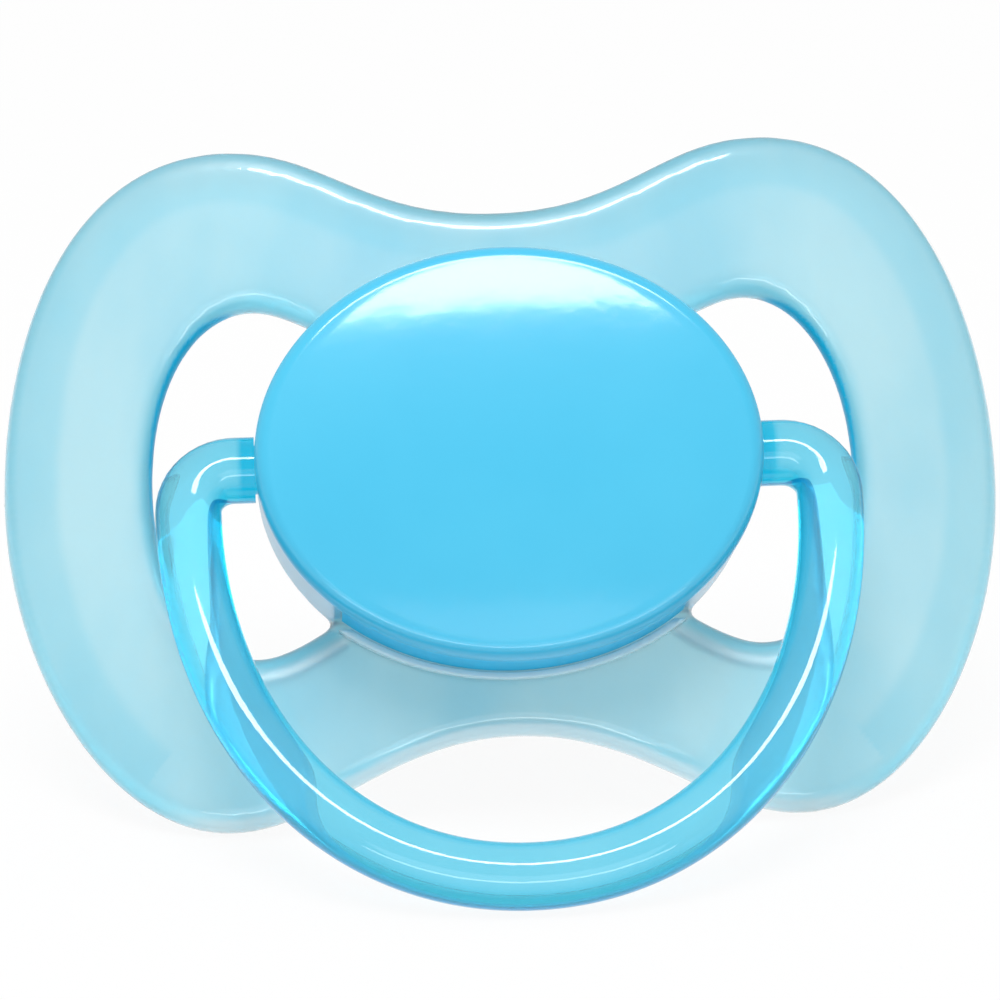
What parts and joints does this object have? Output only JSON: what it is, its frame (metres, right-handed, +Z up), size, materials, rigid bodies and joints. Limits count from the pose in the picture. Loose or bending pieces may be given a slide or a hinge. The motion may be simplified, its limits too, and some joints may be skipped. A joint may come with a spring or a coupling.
{
  "type": "pacifier",
  "caption": "Baby pacifier with a butterfly-shaped vented shield, a hollow silicone teat, an oval button cover over the hub and a ring handle that swings on the hub.",
  "frame": {"origin": "centre of the bounding box on the table that the pacifier lies on, leaning back on the lower lobes of its shield and the tip of its teat", "axes": "+X to the right across the shield as its front is seen, -Y towards the viewer, +Z up from the table"},
  "size_m": [0.058, 0.0498, 0.0351],
  "materials": {
    "shield_polypropylene": "satin, translucent pale blue",
    "cover_polypropylene": "polished, translucent blue",
    "ring_polypropylene": "polished, translucent blue",
    "teat_silicone": "clear, soft",
    "plug_polypropylene": "satin, natural white"
  },
  "bodies": {
    "soother": {"shield": "shield_polypropylene", "button_cover": "cover_polypropylene", "teat": "teat_silicone", "plug": "plug_polypropylene"},
    "ring": {"ring_handle": "ring_polypropylene"}
  },
  "joints": [
    {"name": "ring_swing", "type": "hinge", "parent": "soother", "child": "ring", "pos_m": [0, -0.00553, 0.02002], "axis": [-1, 0, 0], "range_deg": [-15.4, 167.5]}
  ]
}
